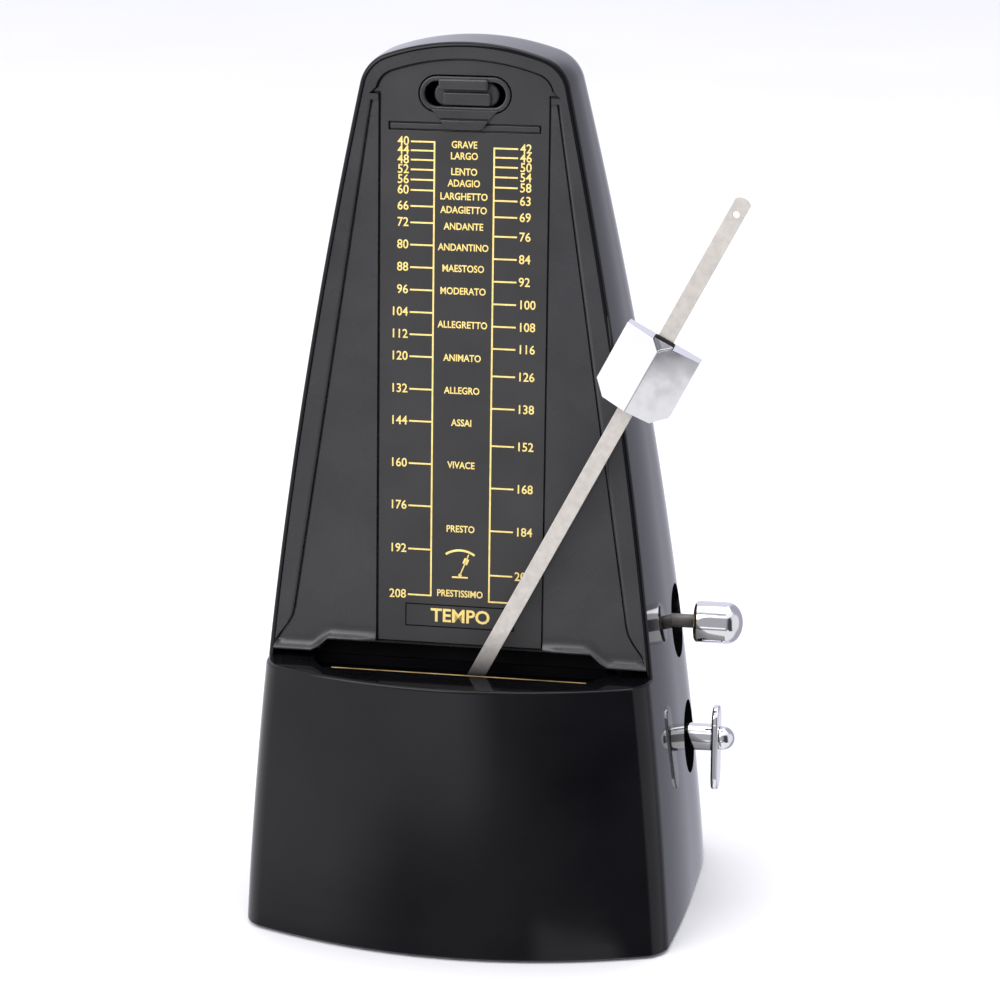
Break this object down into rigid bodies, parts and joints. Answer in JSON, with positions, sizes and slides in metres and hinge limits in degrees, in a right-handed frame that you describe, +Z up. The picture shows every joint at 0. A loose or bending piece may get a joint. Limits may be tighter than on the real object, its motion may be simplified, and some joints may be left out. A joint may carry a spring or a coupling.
{
  "type": "metronome",
  "caption": "Wind-up pyramid metronome in black plastic, front cover off, pendulum with sliding weight swung aside, winding key and bell selector on the right.",
  "frame": {"origin": "centre of the base, on the surface that the rubber feet rest on", "axes": "+X to the right of somebody facing the scale, +Y to the back, +Z up"},
  "size_m": [0.1243, 0.0999, 0.2214],
  "materials": {
    "gloss_black": "glossy black ABS moulding",
    "satin_black": "satin black ABS with a fine grain",
    "scale_black": "satin black scale plate with printed gold scale",
    "rubber": "soft black rubber",
    "chrome": "polished chrome plate",
    "nickel": "satin nickel plated steel strip",
    "brass": "lacquered brass sheet",
    "steel": "turned bright steel",
    "spring_steel": "blued spring steel",
    "zinc": "cast zinc alloy"
  },
  "bodies": {
    "case": {"main_shell": "gloss_black", "front_frame": "satin_black", "scale_plate": "scale_black", "rod_clip": "satin_black", "base_plate": "satin_black", "base_screws": "steel", "rubber_feet": "rubber", "left_plate": "brass", "right_plate": "brass", "plate_screws": "steel", "pillars": "steel", "pillar_nuts": "nickel", "left_bushes": "brass", "right_bushes": "brass", "front_bridge": "brass", "bridge_screws": "steel", "rear_cock": "brass", "escape_bridge": "brass", "escape_bridge_screws": "steel", "click_screw": "steel", "click_spring": "spring_steel", "detent_spring": "spring_steel", "hammer_spring": "spring_steel", "bell": "brass", "bell_post": "steel", "bell_screw": "steel"},
    "winding": {"winding_arbor": "steel", "ratchet_wheel": "steel", "key_sleeve": "chrome", "key_wing": "chrome", "key_cap": "chrome"},
    "click_lever": {"click": "steel"},
    "barrel": {"barrel_drum": "brass", "barrel_cap": "brass", "mainspring": "spring_steel", "great_wheel": "brass"},
    "second": {"second_arbor": "steel", "second_pinion": "steel", "second_wheel": "brass", "bell_wheel": "brass"},
    "escape": {"escape_arbor": "steel", "escape_pinion": "steel", "crown_wheel": "brass"},
    "pendulum": {"pendulum_arbor": "steel", "pallets": "steel", "rod_hub": "brass", "rod_screw": "steel", "pendulum_rod": "nickel", "counterweight": "zinc"},
    "weight": {"sliding_weight": "chrome", "weight_spring": "spring_steel"},
    "selector": {"selector_shaft": "nickel", "selector_knob": "chrome", "shaft_collars": "brass"},
    "drum": {"bell_drum": "brass"},
    "hammer": {"hammer_arbor": "steel", "hammer_arm": "brass", "hammer_head": "brass", "hammer_finger": "brass"}
  },
  "joints": [
    {"name": "pendulum_swing", "type": "hinge", "parent": "case", "child": "pendulum", "pos_m": [0, -0.03553, 0.05859], "axis": [0, -0.9982, 0.0593], "range_deg": [-2.3, 57.7]},
    {"name": "weight_slide", "type": "slide", "parent": "pendulum", "child": "weight", "axis": [0.4648, 0.0525, 0.8838], "range_m": [-0.062, 0.0318]},
    {"name": "key_winding", "type": "hinge", "parent": "case", "child": "winding", "pos_m": [0, 0.012, 0.04], "axis": [1, 0, 0], "continuous": true},
    {"name": "click_pivot", "type": "hinge", "parent": "case", "child": "click_lever", "pos_m": [0.0398, 0.025, 0.0505], "axis": [1, 0, 0], "range_deg": [-6, 0], "stiffness_Nm_per_rad": 0.002, "springref_deg": 5.73},
    {"name": "barrel_turn", "type": "hinge", "parent": "case", "child": "barrel", "pos_m": [0.012, 0.012, 0.04], "axis": [1, 0, 0], "continuous": true},
    {"name": "second_turn", "type": "hinge", "parent": "case", "child": "second", "pos_m": [0, -0.0025, 0.057], "axis": [1, 0, 0], "continuous": true},
    {"name": "escape_turn", "type": "hinge", "parent": "case", "child": "escape", "pos_m": [-0.01, -0.0145, 0.05734], "axis": [1, 0, 0], "continuous": true},
    {"name": "selector_slide", "type": "slide", "parent": "case", "child": "selector", "axis": [1, 0, 0], "range_m": [-0.0048, 0.0048]},
    {"name": "drum_turn", "type": "hinge", "parent": "selector", "child": "drum", "pos_m": [0.01, 0.009, 0.072], "axis": [1, 0, 0], "continuous": true},
    {"name": "hammer_lift", "type": "hinge", "parent": "case", "child": "hammer", "pos_m": [0, 0.025, 0.07], "axis": [1, 0, 0], "range_deg": [0, 12], "stiffness_Nm_per_rad": 0.002, "springref_deg": -5.73}
  ],
  "couplings": [
    {"joint": "second_turn", "follows": "barrel_turn", "ratio": -6},
    {"joint": "escape_turn", "follows": "barrel_turn", "ratio": 36},
    {"joint": "drum_turn", "follows": "barrel_turn", "ratio": 30}
  ]
}
